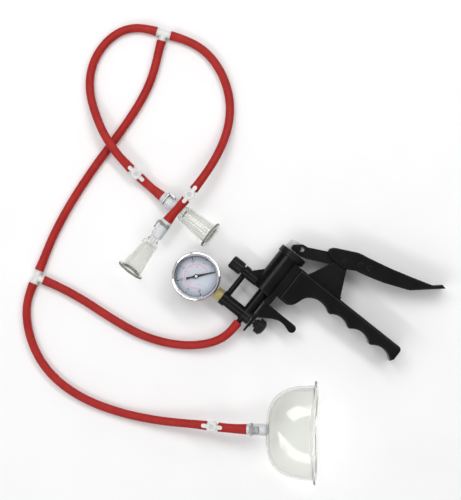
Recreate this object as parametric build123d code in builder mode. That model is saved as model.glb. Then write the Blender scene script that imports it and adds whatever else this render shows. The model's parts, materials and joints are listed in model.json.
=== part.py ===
from build123d import *
import os
from math import cos, radians, sin, tan

# Hand vacuum pump with a dial gauge, lying on its side with three suction cups on a branched hose.
# Millimetres. +X runs along the grip, +Y along the barrel towards the lever, +Z up.
# The origin is the middle of the pump's own footprint, on the surface it lies on.

# ---------------------------------------------------------------- driving dimensions
CAP_R = 12.5                 # screw cap of the barrel, which touches the surface
MID_Z = CAP_R                # height of the pump's middle plane
PUMP_X = -24.0               # the barrel's axis
PUMP_Y = -23.8               # the floor of the barrel's bore
BARREL_R = 11.4
BORE_R = 9.5
BARREL_TOP = 32.8
CAP_TOP = 39.3
GRIP_HALF = 12.5             # half the grip's thickness
GRIP_FILLET = 2.2            # along both edges of the grip's outline
CUSP_FILLET = 2.6            # on the ridges between the finger grooves
GRIP_END = 121.3
ROD_R = 2.5
ROD_PIN_Y = 44.2
ROD_PIN_R = 1.5
FULCRUM = (37.4, 60.0)
FULCRUM_PIN_R = 2.0
ROD_ARM = 39.0               # from the fulcrum to the rod pin
SLOT_ANGLE = 22.9            # degrees below level, from the fulcrum to the rod pin
RIVETS = ((50.0, 66.0), (57.0, 68.3))
RIVET_R = 1.6
SCREWS_X = (26.0, 47.5)      # the bracket's screws along the grip
SCREW_R = 1.5
CHEEK = (5.2, 7.4)           # inside and outside of the bracket's cheeks, from the middle plane
ARM = (2.9, 4.9)             # the same of the lever's inner arm
WALL = (7.8, 10.2)           # the same of the lever grip's walls
PIVOT_CLEAR = 0.06           # running clearance of a pin in a moving part
LINE_Y = -27.7               # axis of the manifold, the gauge and the release stem
EXHAUST_Y = 1.0              # axis of the exhaust port
INLET_X = 0.15               # axis of the inlet, from the barrel's axis
NIPPLE_X = -0.7              # axis of the hose nipple
PORT_R = 1.2                 # drilled air ways
BRIDGE_X = -22.0
GAUGE_X = -52.7
GAUGE_R = 20.6
GAUGE_BACK = -10.0           # gauge case from the middle plane
GAUGE_FRONT = 15.5
TRIGGER_PIN = (7.9, -6.5)
TRIGGER_PIN_R = 1.25
HOSE_R = 3.6
BARB_BORE_R = 1.3
NIPPLE_END = -36.2
COUPLER_L = 17.0
CUP_STEM_R = 3.05
SMALL_CUP_END = 53.7         # mouth of a small cup, measured from its coupler's hose end
BIG_CUP_RIM = 58.7

# ---------------------------------------------------------------- hose routes (row frame)
PUMP_ROUTE = [
    (-24.7, -60.0, 12.5), (-24.7, -70.5, 12.4), (-27.4, -80.9, 11.1), (-33.9, -91.0, 8.6),
    (-43.6, -100.8, 6.0), (-56.0, -109.4, 4.2), (-69.8, -116.0, 3.6), (-84.5, -120.8, 3.6),
    (-100.4, -123.6, 3.6), (-117.5, -125.6, 3.6), (-134.4, -127.1, 3.6), (-151.0, -129.4, 3.6),
    (-167.1, -132.7, 3.6), (-176.7, -135.4, 3.6),
]
LOWER_ROUTE = [
    (-181.5, -143.1, 3.6), (-179.1, -151.7, 3.6), (-174.3, -161.5, 3.6), (-167.3, -170.4, 3.6),
    (-157.8, -178.9, 3.6), (-145.7, -186.6, 3.6), (-131.2, -192.4, 3.6), (-115.6, -195.1, 3.6),
    (-99.5, -194.9, 3.6), (-82.3, -192.2, 3.6), (-64.8, -186.8, 3.6), (-46.9, -179.4, 3.9),
    (-29.7, -170.3, 6.2), (-14.0, -160.4, 10.0), (0.3, -150.4, 13.5), (8.8, -145.0, 15.0),
]
RISER_ROUTE = [
    (-184.7, -131.3, 3.6), (-187.4, -121.7, 3.6), (-192.6, -105.0, 3.6), (-196.6, -86.4, 3.6),
    (-199.6, -67.0, 3.6), (-201.6, -46.8, 3.6), (-202.9, -26.3, 3.6), (-203.5, -5.6, 3.6),
    (-204.4, 15.0, 3.6), (-206.4, 34.6, 3.6), (-210.1, 52.4, 3.6), (-215.5, 66.4, 3.6),
    (-221.3, 78.4, 3.6), (-224.8, 86.7, 3.6),
]
LEFT_ROUTE = [
    (-232.9, 90.4, 3.6), (-240.3, 87.3, 3.6), (-248.4, 82.3, 3.6), (-255.0, 75.0, 3.6),
    (-259.3, 65.8, 3.6), (-261.1, 55.4, 3.6), (-260.7, 44.4, 3.6), (-258.0, 33.8, 3.6),
    (-253.1, 24.0, 3.6), (-246.3, 15.4, 3.8), (-237.6, 8.0, 5.6), (-226.5, 0.9, 9.6),
    (-213.0, -6.3, 13.4), (-195.8, -11.9, 13.4), (-186.2, -13.6, 10.1), (-176.9, -14.9, 7.9),
]
RIGHT_ROUTE = [
    (-221.7, 95.0, 3.6), (-214.3, 98.1, 3.6), (-204.6, 101.2, 3.6), (-193.3, 102.8, 3.6),
    (-181.0, 101.6, 3.6), (-168.4, 97.4, 3.6), (-156.0, 90.3, 3.6), (-145.1, 80.6, 3.6),
    (-136.5, 68.4, 5.0), (-130.7, 55.2, 8.4), (-127.0, 41.3, 13.0), (-124.9, 27.5, 17.4),
    (-124.0, 14.3, 20.3), (-123.8, 3.9, 20.8),
]
LEFT_TAIL = [(-167.2, -15.8, 5.7), (-159.4, -16.5, 4.3), (-149.7, -16.8, 5.0), (-141.8, -16.8, 5.9)]
RIGHT_TAIL = [(-124.0, -6.0, 20.7), (-124.2, -14.0, 20.6), (-125.0, -22.1, 19.3), (-124.8, -30.0, 18.3)]
LOWER_TAIL = [(17.2, -139.8, 16.4), (27.4, -133.4, 18.1), (36.9, -126.1, 19.45)]
PUMP_TEE = (-183.1, -137.2, 3.6)
SPLITTER_TEE = (-227.3, 92.7, 3.6)
LEFT_CUP_HEADING = (0.0, 6.6)        # degrees about Z from +X, and above level
RIGHT_CUP_HEADING = (-88.8, -6.9)
LARGE_CUP_HEADING = (37.5, 6.5)

# ---------------------------------------------------------------- frames
PUMP = Plane(origin=(PUMP_X, PUMP_Y, MID_Z))
BARREL_LINE = Plane(origin=(PUMP_X, PUMP_Y, MID_Z), x_dir=(0, 1, 0), z_dir=(0, 0, 1))
MAIN_LINE = Plane(origin=(PUMP_X, PUMP_Y + LINE_Y, MID_Z), x_dir=(1, 0, 0), z_dir=(0, 0, 1))
EXHAUST_LINE = Plane(origin=(PUMP_X, PUMP_Y + EXHAUST_Y, MID_Z), x_dir=(1, 0, 0), z_dir=(0, 0, 1))
GAUGE_LINE = Plane(
    origin=(PUMP_X + GAUGE_X, PUMP_Y + LINE_Y, MID_Z), x_dir=(0, 0, 1), z_dir=(0, 1, 0)
)
pieces = {}


def upright(x, y):
    """Frame of a pin at (x, y) of the pump: its X runs up."""
    return Plane(origin=(PUMP_X + x, PUMP_Y + y, MID_Z), x_dir=(0, 0, 1), z_dir=(0, 1, 0))


def across(x, y):
    """Frame of a bore at (x, y) of the pump that runs along the barrel."""
    return Plane(origin=(PUMP_X + x, PUMP_Y + y, MID_Z), x_dir=(0, 1, 0), z_dir=(0, 0, 1))


def between(start, end):
    """Frame in the middle of a fitting, with X along its bore and Z as near up as that lets it."""
    along = (Vector(*end) - Vector(*start)).normalized()
    up = (Vector(0, 0, 1) - along * along.Z).normalized()
    return Plane(origin=(Vector(*start) + Vector(*end)) * 0.5, x_dir=along, z_dir=up)


def leading(start, heading, roll):
    """Frame at a coupler's hose end, X towards its cup, Z towards its thumb pad."""
    turn, rise = radians(heading[0]), radians(heading[1])
    along = Vector(cos(turn) * cos(rise), sin(turn) * cos(rise), sin(rise))
    up = (Vector(0, 0, 1) - along * along.Z).normalized()
    return Plane(origin=start, x_dir=along, z_dir=up.rotate(Axis((0, 0, 0), tuple(along)), roll))


def turned(frame, outline, mode=Mode.ADD):
    """Revolve an outline of (distance along X, radius) about the frame's X axis."""
    with BuildSketch(frame) as profile:
        with BuildLine():
            Polyline(*outline, close=True)
        make_face()
    revolve(profile.sketch, axis=Axis(frame.origin, frame.x_dir), mode=mode)


def rod(frame, start, end, radius, mode=Mode.ADD):
    """A plain cylinder on the frame's X axis."""
    turned(frame, [(start, 0), (end, 0), (end, radius), (start, radius)], mode)


def plate(outline, low, high, mode=Mode.ADD, frame=PUMP):
    """Extrude an outline of the frame between two heights over it."""
    with BuildSketch(frame.offset(low)) as shape:
        with BuildLine():
            Polyline(*outline, close=True)
        make_face()
    extrude(shape.sketch, amount=high - low, mode=mode)


def add_piece(name, piece):
    pieces[name] = piece.part


def lengthways(frame, distance):
    """Plane across the frame's X axis, with its own X along the frame's Y."""
    spot = frame.origin + frame.x_dir * distance
    return Plane(origin=spot, x_dir=frame.y_dir, z_dir=frame.x_dir)


def ridges(frame, distance, radius, count, size):
    """Ring of grip ridges round the frame's X axis."""
    with Locations(lengthways(frame, distance)):
        with PolarLocations(radius, count):
            Box(*size)


# ---------------------------------------------------------------- pump body and barrel
GROOVE_CUSPS = [(119.3, 18.0), (97.3, 17.3), (75.0, 17.0), (54.5, 16.5), (35.0, 18.5)]
GROOVE_PEAKS = [(108.0, 22.5), (86.0, 22.3), (64.0, 21.0), (44.0, 20.5)]

with BuildPart() as grip:
    with BuildSketch(PUMP.offset(-GRIP_HALF)) as grip_side:
        with BuildLine():
            back = Polyline((12.6, 1.0), (12.6, 32.5), (117.8, 32.5))
            corner = TangentArc(back @ 1, (GRIP_END, 29.0), tangent=(1, 0))
            Polyline(corner @ 1, (GRIP_END, 21.0), GROOVE_CUSPS[0])
            for start, peak, end in zip(GROOVE_CUSPS, GROOVE_PEAKS, GROOVE_CUSPS[1:]):
                ThreePointArc(start, peak, end)
            web = [GROOVE_CUSPS[-1], (30.6, 14.6), (27.8, 7.4), (21.5, 1.0)]
            Spline(*web, tangents=[(-1, -0.6), (-1, -0.4)])
            Line((21.5, 1.0), (12.6, 1.0))
        make_face()
        fillet([v for v in grip_side.vertices() if v.Y < 19 and 50 < v.X < 100], radius=CUSP_FILLET)
    extrude(amount=2 * GRIP_HALF)
    sides = grip.faces().sort_by(Axis.Z)
    fillet(sides[0].edges() + sides[-1].edges(), GRIP_FILLET)

with BuildPart() as pump_body:
    add(grip.part)
    plate([(4, -2.2), (4, 32), (14, 32), (14, 2.6), (10.9, 1.0), (10.9, -2.2)], -9.4, 9.4)
    turned(BARREL_LINE, [(-3, 0), (-3, 10.6), (-2.2, BARREL_R), (BARREL_TOP, BARREL_R), (BARREL_TOP, 0)])
    turned(EXHAUST_LINE, [(-9, 0), (-33, 0), (-33, 3.2), (-24.5, 3.2), (-24.5, 4.8), (-24.0, 5.3),
                          (-19.9, 5.3), (-19.4, 4.6), (-9, 4.6)])
    plate([(-10.5, 14.0), (-10.5, 3), (-18.6, 3), (-18.6, 5.4)], -1.6, 1.6)
    rod(across(INLET_X, 0), -12.0, -1.0, 4.75)
    rod(across(INLET_X, 0), -18.0, -1.0, 3.15)
    for low, high in ((-6.8, -4.75), (4.75, 6.8)):
        plate([(5.2, -1.5), (4.9, -7.0), (6.0, -9.3), (9.6, -9.3), (10.9, -7.6), (10.9, -1.5)], low, high)
    rod(BARREL_LINE, 0, BARREL_TOP, BORE_R, Mode.SUBTRACT)
    turned(BARREL_LINE, [(BARREL_TOP - 4.0, 0), (BARREL_TOP, 0), (BARREL_TOP, 10.1),
                         (BARREL_TOP - 4.0, 10.1)], Mode.SUBTRACT)
    rod(across(INLET_X, 0), -18.0, 0, 1.6, Mode.SUBTRACT)
    rod(EXHAUST_LINE, -33.0, -8.0, 1.5, Mode.SUBTRACT)
    rod(upright(*TRIGGER_PIN), -8, 8, TRIGGER_PIN_R, Mode.SUBTRACT)
    for screw_x in SCREWS_X:
        rod(across(screw_x, 0), 22.0, 33.0, SCREW_R, Mode.SUBTRACT)
add_piece("pump_body", pump_body)

with BuildPart() as barrel_cap:
    crest = [(33.2, 11.9)]
    for ridge in range(4):
        start = 33.9 + 1.3 * ridge
        crest += [(start, CAP_R), (start + 0.8, CAP_R), (start + 1.05, CAP_R - 0.4)]
    crest += [(CAP_TOP - 0.2, CAP_R - 0.6), (CAP_TOP, CAP_R - 1.2)]
    turned(BARREL_LINE, [(33.2, 10.0), *crest, (CAP_TOP, 4.0), (31.0, 4.0), (31.0, 10.0)])
add_piece("barrel_cap", barrel_cap)

with BuildPart() as rod_bush:
    turned(BARREL_LINE, [(30.2, ROD_R + PIVOT_CLEAR), (30.2, 6.0), (31.0, 6.0), (31.0, 4.0),
                         (39.6, 4.0), (39.6, ROD_R + PIVOT_CLEAR)])
add_piece("rod_bush", rod_bush)

# ---------------------------------------------------------------- piston and return spring
with BuildPart() as piston:
    turned(BARREL_LINE, [(3.6, 0), (3.6, 8.6), (4.2, 9.35), (5.8, 9.35), (5.8, 7.8), (8.2, 7.8),
                         (8.2, 9.35), (10.0, 9.35), (10.0, 4.6), (9.2, 4.6), (9.2, 0)])
    rod(BARREL_LINE, 5.0, 10.0, ROD_R, Mode.SUBTRACT)
add_piece("piston", piston)

with BuildPart() as piston_seal:
    turned(BARREL_LINE, [(6.0, 7.8), (8.0, 7.8), (8.0, 9.2), (7.7, 9.44), (6.3, 9.44), (6.0, 9.2)])
add_piece("piston_seal", piston_seal)

with BuildPart() as piston_rod:
    turned(BARREL_LINE, [(5.0, 0), (5.0, ROD_R), (38.5, ROD_R), (39.8, 2.0), (41.0, 2.0), (41.0, 0)])
add_piece("piston_rod", piston_rod)

with BuildPart() as rod_head:
    plate([(-9.6, 39.9), (-9.0, 46.9), (-4.6, 48.6), (2.6, 48.6), (4.2, 47.0), (4.2, 39.9)], -2.4, 2.4)
    fillet(rod_head.edges().filter_by(Axis.Z), 0.8)
    rod(BARREL_LINE, 38.0, 41.0, 2.0, Mode.SUBTRACT)
    rod(upright(0, ROD_PIN_Y), -3, 3, ROD_PIN_R, Mode.SUBTRACT)
add_piece("rod_head", rod_head)

with BuildPart() as rod_pin:
    turned(upright(0, ROD_PIN_Y), [(-6.2, 0), (-6.2, 2.2), (-5.2, 2.6), (-5.2, ROD_PIN_R), (5.2, ROD_PIN_R),
                                   (5.2, 2.6), (6.2, 2.2), (6.2, 0)])
add_piece("rod_pin", rod_pin)


def coil(start, length, radius, wire, turns, frame):
    """Compression spring on the frame's X axis."""
    spot = frame.origin + frame.x_dir * (start + wire)
    pitch = (length - 2 * wire) / turns
    with BuildPart() as spring:
        with BuildLine() as path:
            Helix(pitch, length - 2 * wire, radius, center=spot, direction=frame.x_dir)
        with BuildSketch(Plane(origin=path.line @ 0, z_dir=path.line % 0)):
            Circle(wire)
        sweep(path=path.line, is_frenet=True)
    return spring


return_spring = coil(10.1, 20.0, 7.0, 0.6, 6, BARREL_LINE)
add_piece("return_spring", return_spring)

# ---------------------------------------------------------------- manifold, valves and exhaust
with BuildPart() as manifold:
    turned(MAIN_LINE, [(-25.1, 0), (-25.1, 5.9), (-24.6, 6.3), (-20.0, 6.3), (-19.6, 5.9), (-19.6, 5.3),
                       (-2.1, 5.3), (-2.1, 5.4), (5.9, 5.4), (5.9, 0)])
    ridges(MAIN_LINE, 1.9, 5.35, 18, (0.9, 0.9, 6.6))
    rod(across(INLET_X, 0), LINE_Y, -12.1, 4.75)
    turned(across(NIPPLE_X, 0), [(LINE_Y, 0), (LINE_Y, 3.2), (-33.4, 3.2), (-33.8, 2.4), (NIPPLE_END, 2.4),
                             (NIPPLE_END, 0)])
    rod(across(INLET_X, 0), -20.0, -12.0, 3.2, Mode.SUBTRACT)
    rod(across(INLET_X, 0), LINE_Y, -19.0, PORT_R, Mode.SUBTRACT)
    rod(across(NIPPLE_X, 0), NIPPLE_END, LINE_Y, PORT_R, Mode.SUBTRACT)
    turned(MAIN_LINE, [(-25.1, 0), (-25.1, 3.3), (-16.0, 3.3), (-16.0, 1.2), (-9.0, 1.2), (-9.0, 3.0),
                       (-2.2, 3.0), (-2.2, 1.9), (0.8, 1.9), (0.8, 2.6), (5.9, 2.6), (5.9, 0)], Mode.SUBTRACT)
    rod(upright(3.1, LINE_Y), 0, 7, 0.6, Mode.SUBTRACT)
add_piece("manifold", manifold)

with BuildPart() as valve_nut:
    turned(MAIN_LINE, [(4.9, 1.06), (4.9, 2.6), (6.05, 2.6), (6.05, 1.06)])
add_piece("valve_nut", valve_nut)

with BuildPart() as inlet_valve_disc:
    turned(across(INLET_X, 0), [(-19.9, 0), (-19.9, 2.2), (-18.9, 2.9), (-18.2, 2.9), (-18.2, 0)])
add_piece("inlet_valve_disc", inlet_valve_disc)

with BuildPart() as exhaust_valve_disc:
    turned(EXHAUST_LINE, [(-33.1, 0), (-33.1, 2.9), (-34.1, 2.9), (-34.6, 1.2), (-34.6, 0)])
add_piece("exhaust_valve_disc", exhaust_valve_disc)

with BuildPart() as exhaust_cap:
    turned(EXHAUST_LINE, [(-25.6, 3.25), (-25.6, 4.9), (-26.0, 5.3), (-36.9, 5.3), (-37.6, 4.6), (-37.6, 1.0),
                          (-36.2, 1.0), (-36.2, 3.25)])
    ridges(EXHAUST_LINE, -31.4, 5.35, 20, (0.7, 0.9, 10.4))
add_piece("exhaust_cap", exhaust_cap)

with BuildPart() as bridge_tube:
    with BuildSketch(Plane.XZ.offset(-PUMP_Y + 22.3)) as bridge_end:
        with Locations((PUMP_X + BRIDGE_X, MID_Z)):
            Circle(2.4)
            Circle(PORT_R, mode=Mode.SUBTRACT)
    extrude(amount=-20.0)
    rod(EXHAUST_LINE, -30, -10, 5.32, Mode.SUBTRACT)
    rod(MAIN_LINE, -30, -10, 6.32, Mode.SUBTRACT)
add_piece("bridge_tube", bridge_tube)

# ---------------------------------------------------------------- release valve and trigger
with BuildPart() as release_stem:
    turned(MAIN_LINE, [(-8.6, 0), (-8.6, 2.5), (-7.8, 2.5), (-7.8, 1.0), (0.9, 1.0), (0.9, 2.3), (1.2, 2.3),
                       (1.2, 1.5), (2.2, 1.5), (2.2, 2.3), (2.5, 2.3), (2.5, 1.0), (18.6, 1.0), (18.6, 0)])
add_piece("release_stem", release_stem)

with BuildPart() as stem_seal:
    turned(MAIN_LINE, [(1.25, 1.5), (2.15, 1.5), (2.15, 2.4), (1.95, 2.57), (1.45, 2.57), (1.25, 2.4)])
add_piece("stem_seal", stem_seal)

stem_spring = coil(-7.7, 5.4, 2.2, 0.3, 4, MAIN_LINE)
add_piece("stem_spring", stem_spring)

with BuildPart() as release_knob:
    turned(MAIN_LINE, [(9.3, 1.0), (9.3, 2.6), (10.7, 2.6), (10.9, 4.0), (12.9, 4.0), (12.9, 5.9),
                       (13.3, 6.3), (18.5, 6.3), (19.0, 5.7), (20.1, 4.2), (20.6, 2.0), (20.6, 0),
                       (18.7, 0), (18.7, 1.0)])
    ridges(MAIN_LINE, 15.9, 6.35, 24, (0.7, 0.8, 5.0))
add_piece("release_knob", release_knob)

with BuildPart() as release_trigger:
    with BuildSketch(PUMP.offset(-4.3)) as trigger_side:
        with BuildLine():
            top = Polyline((8.0, -8.9), (10.0, -8.5), (37.9, -8.6))
            ball = ThreePointArc(top @ 1, (41.6, -12.3), (37.0, -15.9))
            under = Spline(ball @ 1, (32.9, -14.5), (27.9, -13.7), (22.9, -14.8), (16.4, -18.3), (9.8, -22.4))
            Polyline(under @ 1, (8.9, -24.0), (6.3, -24.0), (6.3, -8.9), (8.0, -8.9))
        make_face()
    extrude(amount=8.6)
    fillet(release_trigger.edges().filter_by(GeomType.LINE, reverse=True).group_by(Axis.Z)[-1], 0.9)
    rod(upright(*TRIGGER_PIN), -4.4, 4.4, 2.75)
    plate([(6.3, -33.0), (8.9, -33.0), (8.9, -20.0), (6.3, -20.0)], -6.2, 6.2)
    plate([(6.5, -39.0), (8.0, -39.0), (8.4, -33.0), (6.3, -33.0)], -1.8, 1.8)
    with BuildSketch(lengthways(MAIN_LINE, 5.0)) as stem_slot:
        SlotCenterToCenter(1.6, 3.2)
    extrude(stem_slot.sketch, amount=8, mode=Mode.SUBTRACT)
    rod(upright(*TRIGGER_PIN), -5, 5, TRIGGER_PIN_R + PIVOT_CLEAR, Mode.SUBTRACT)
add_piece("release_trigger", release_trigger)

with BuildPart() as trigger_pin:
    turned(upright(*TRIGGER_PIN), [(-7.6, 0), (-7.6, 1.7), (-6.85, 2.1), (-6.85, TRIGGER_PIN_R),
                                   (6.85, TRIGGER_PIN_R), (6.85, 2.1), (7.6, 1.7), (7.6, 0)])
add_piece("trigger_pin", trigger_pin)

# ---------------------------------------------------------------- fulcrum bracket and lever
with BuildPart() as fulcrum_bracket:
    plate([(21, 32.5), (54.5, 32.5), (54.5, 34.5), (21, 34.5)], -CHEEK[1], CHEEK[1])
    for low, high in ((-CHEEK[1], -CHEEK[0]), (CHEEK[0], CHEEK[1])):
        plate([(21.6, 34.0), (53.6, 34.0), (41.7, 58.4), (33.1, 58.4)], low, high)
    plate([(51.4, 34.0), (53.6, 34.0), (46.3, 49.0), (44.1, 49.0)], -CHEEK[0], CHEEK[0])
    for low, high in ((-CHEEK[1], -CHEEK[0]), (CHEEK[0], CHEEK[1])):
        rod(upright(*FULCRUM), low, high, 4.6)
    rod(upright(*FULCRUM), -8, 8, FULCRUM_PIN_R, Mode.SUBTRACT)
    for screw_x in SCREWS_X:
        rod(across(screw_x, 0), 32.0, 35.0, SCREW_R + 0.1, Mode.SUBTRACT)
add_piece("fulcrum_bracket", fulcrum_bracket)

with BuildPart() as bracket_screws:
    for screw_x in SCREWS_X:
        turned(across(screw_x, 0), [(23.0, 0), (23.0, SCREW_R), (34.5, SCREW_R), (34.5, 2.6), (35.6, 2.6),
                                    (36.2, 1.8), (36.2, 0)])
add_piece("bracket_screws", bracket_screws)

with BuildPart() as fulcrum_pin:
    turned(upright(*FULCRUM), [(-11.0, 0), (-11.0, 2.4), (-10.3, 3.0), (-10.3, FULCRUM_PIN_R),
                               (10.3, FULCRUM_PIN_R), (10.3, 3.0), (11.0, 2.4), (11.0, 0)])
add_piece("fulcrum_pin", fulcrum_pin)

ARM_OUTLINE = [
    (-5.1, 41.4), (-5.1, 44.2), (1.0, 49.4), (6.0, 50.2), (22.0, 58.2), (34.0, 65.8), (58.0, 71.8),
    (61.5, 68.4), (59.5, 65.2), (44.0, 58.4), (29.0, 50.2), (11.0, 41.7), (5.0, 40.3), (-3.9, 40.3),
]
with BuildPart() as lever_arm:
    for low, high in ((-ARM[1], -ARM[0]), (ARM[0], ARM[1])):
        plate(ARM_OUTLINE, low, high)
    bridge = [(12.0, 42.3), (9.0, 51.6), (22.0, 58.0), (34.0, 65.6), (40.0, 57.0), (29.0, 50.4)]
    plate(bridge, -ARM[0], ARM[0])
    rod_slot_x = FULCRUM[0] - ROD_ARM * cos(radians(SLOT_ANGLE))
    rod_slot_y = FULCRUM[1] - ROD_ARM * sin(radians(SLOT_ANGLE))
    with BuildSketch(PUMP.offset(-ARM[1])) as rod_slot:
        with Locations(Location((rod_slot_x, rod_slot_y, 0), (0, 0, SLOT_ANGLE))):
            SlotCenterToCenter(4.0, 4.0)
    extrude(rod_slot.sketch, amount=2 * ARM[1], mode=Mode.SUBTRACT)
    rod(upright(*FULCRUM), -6, 6, FULCRUM_PIN_R + PIVOT_CLEAR, Mode.SUBTRACT)
    for rivet in RIVETS:
        rod(upright(*rivet), -6, 6, RIVET_R, Mode.SUBTRACT)
add_piece("lever_arm", lever_arm)

LEVER_TOP = [(21.6, 57.0), (21.6, 61.5), (23.0, 63.3), (26.0, 65.0), (42.0, 73.0), (46.0, 74.0),
             (51.0, 74.8), (71.0, 79.4), (91.0, 85.1), (108.4, 90.5), (114.4, 95.9), (118.3, 95.0)]
LEVER_UNDER = [(95.7, 75.1), (85.4, 70.9), (76.2, 67.1), (66.2, 64.0), (56.2, 61.3), (51.0, 60.2),
               (42.0, 55.4), (36.0, 54.6), (28.0, 54.8)]
LEVER_HOLLOW = [(19.0, 50.0), (19.0, 60.2), (24.4, 62.6), (43.0, 70.6), (51.5, 72.3), (71.5, 76.9),
                (91.6, 82.7), (106.0, 87.2), (111.0, 91.4), (113.6, 89.0), (96.0, 70.0), (70.0, 60.0),
                (50.0, 52.0)]
with BuildPart() as lever_grip:
    plate(LEVER_TOP + LEVER_UNDER, -WALL[1], WALL[1])
    top_edges = lever_grip.edges().filter_by(Plane.XY).group_by(Axis.Z)
    chamfer(top_edges[-1] + top_edges[0], 0.9)
    plate(LEVER_HOLLOW, -WALL[0], WALL[0], Mode.SUBTRACT)
    rod(upright(*FULCRUM), -12, 12, FULCRUM_PIN_R + PIVOT_CLEAR, Mode.SUBTRACT)
    for rivet in RIVETS:
        rod(upright(*rivet), -12, 12, RIVET_R, Mode.SUBTRACT)
add_piece("lever_grip", lever_grip)

with BuildPart() as lever_rivets:
    for rivet in RIVETS:
        turned(upright(*rivet), [(-10.8, 0), (-10.8, 2.0), (-WALL[1], 2.6), (-WALL[1], RIVET_R),
                                 (-WALL[0], RIVET_R), (-WALL[0], 2.4), (-ARM[1], 2.4), (-ARM[1], RIVET_R),
                                 (ARM[1], RIVET_R), (ARM[1], 2.4), (WALL[0], 2.4), (WALL[0], RIVET_R),
                                 (WALL[1], RIVET_R), (WALL[1], 2.6), (10.8, 2.0), (10.8, 0)])
add_piece("lever_rivets", lever_rivets)

# ---------------------------------------------------------------- gauge
STEM_END = -27.4             # where the gauge's stem ends inside the adaptor
with BuildPart() as gauge_adaptor:
    with BuildSketch(lengthways(MAIN_LINE, -31.5)) as hexagon:
        RegularPolygon(radius=5.35, side_count=6)
    extrude(hexagon.sketch, amount=6.4)
    rod(MAIN_LINE, -25.1, -16.6, 3.28)
    rod(MAIN_LINE, -31.5, STEM_END, 2.4, Mode.SUBTRACT)
    rod(MAIN_LINE, STEM_END, -16.6, PORT_R, Mode.SUBTRACT)
add_piece("gauge_adaptor", gauge_adaptor)

with BuildPart() as gauge_case:
    turned(GAUGE_LINE, [(GAUGE_BACK, 0), (GAUGE_BACK, 18.4), (GAUGE_BACK + 1.2, 19.6), (12.6, 19.6),
                        (12.6, 18.3), (GAUGE_BACK + 1.4, 18.3), (GAUGE_BACK + 1.4, 0)])
    rod(MAIN_LINE, GAUGE_X + 15, GAUGE_X + 22, 2.45, Mode.SUBTRACT)
add_piece("gauge_case", gauge_case)

with BuildPart() as gauge_bezel:
    turned(GAUGE_LINE, [(9.6, 19.65), (9.6, 20.3), (10.0, GAUGE_R), (14.2, GAUGE_R), (15.2, 20.0),
                        (GAUGE_FRONT, 19.2), (GAUGE_FRONT, 18.3), (15.0, 17.6), (14.3, 17.6), (14.3, 19.0),
                        (12.65, 19.0), (12.65, 19.65)])
add_piece("gauge_bezel", gauge_bezel)

with BuildPart() as gauge_lens:
    turned(GAUGE_LINE, [(12.7, 0), (12.7, 18.9), (14.2, 18.9), (14.2, 0)])
add_piece("gauge_lens", gauge_lens)

with BuildPart() as gauge_dial:
    turned(GAUGE_LINE, [(7.4, 1.3), (7.4, 18.1), (7.9, 18.1), (7.9, 1.3)])
add_piece("gauge_dial", gauge_dial)

with BuildPart() as gauge_movement:
    plate([(GAUGE_X + 9, LINE_Y - 5), (GAUGE_X + 17.6, LINE_Y - 3), (GAUGE_X + 17.6, LINE_Y + 3),
           (GAUGE_X + 9, LINE_Y + 5)], -6.0, 2.6)
    plate([(GAUGE_X - 7, LINE_Y - 5), (GAUGE_X + 10, LINE_Y - 5), (GAUGE_X + 10, LINE_Y + 5),
           (GAUGE_X - 7, LINE_Y + 5)], 1.2, 2.6)
    rod(MAIN_LINE, GAUGE_X + 14, STEM_END, 2.35)
    for post_x, post_y in ((6.0, 3.5), (-6.0, -3.5)):
        rod(upright(GAUGE_X + post_x, LINE_Y + post_y), 2.0, 7.4, 1.0)
    rod(upright(GAUGE_X, LINE_Y), 0, 3, 0.86, Mode.SUBTRACT)
add_piece("gauge_movement", gauge_movement)

with BuildPart() as bourdon_tube:
    with BuildLine() as curl:
        CenterArc((PUMP_X + GAUGE_X, PUMP_Y + LINE_Y, MID_Z - 3.5), 13.2, 24, 250)
    with BuildSketch(Plane(origin=curl.line @ 0, z_dir=curl.line % 0, x_dir=(0, 0, 1))):
        Ellipse(2.6, 1.0)
    sweep(path=curl.line)
add_piece("bourdon_tube", bourdon_tube)

NEEDLE_REST = 51.0           # degrees from the stem's side of the dial
with BuildPart() as gauge_needle:
    turned(upright(GAUGE_X, LINE_Y), [(0.4, 0), (0.4, 0.8), (8.6, 0.8), (8.6, 1.9), (10.2, 1.9), (10.6, 1.2),
                                      (10.6, 0)])
    needle_heading = (cos(radians(NEEDLE_REST)), sin(radians(NEEDLE_REST)), 0)
    needle_frame = Plane(origin=GAUGE_LINE.origin, x_dir=needle_heading)
    plate([(-9.0, -1.1), (-8.4, 1.1), (-4.0, 0.7), (0, 1.2), (16.0, 0.25), (16.0, -0.25), (0, -1.2),
           (-4.0, -0.7)], 8.9, 9.5, frame=needle_frame)
add_piece("gauge_needle", gauge_needle)


# ---------------------------------------------------------------- hoses
def hose(name, route):
    """Solid run of hose: straight runs joined by arcs as large as the runs allow."""
    points = [Vector(*point) for point in route]
    runs = [end - start for start, end in zip(points, points[1:])]
    radii = []
    for before, after in zip(runs, runs[1:]):
        turn = radians(before.get_angle(after))
        radii.append(0.45 * min(before.length, after.length) / tan(turn / 2))
    with BuildPart() as tube:
        with BuildLine() as path:
            FilletPolyline(*points, radius=radii)
        with BuildSketch(Plane(origin=points[0], z_dir=runs[0])):
            Circle(HOSE_R)
        sweep(path=path.wires()[0])
    print(f"{name}: {path.wires()[0].length:.1f} mm, smallest radius {min(radii):.0f} mm")
    add_piece(name, tube)


hose("pump_hose", PUMP_ROUTE)
hose("lower_hose", LOWER_ROUTE)
hose("riser_hose", RISER_ROUTE)
hose("left_loop_hose", LEFT_ROUTE)
hose("right_loop_hose", RIGHT_ROUTE)
hose("left_cup_hose", LEFT_TAIL)
hose("right_cup_hose", RIGHT_TAIL)
hose("large_cup_hose", LOWER_TAIL)


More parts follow.
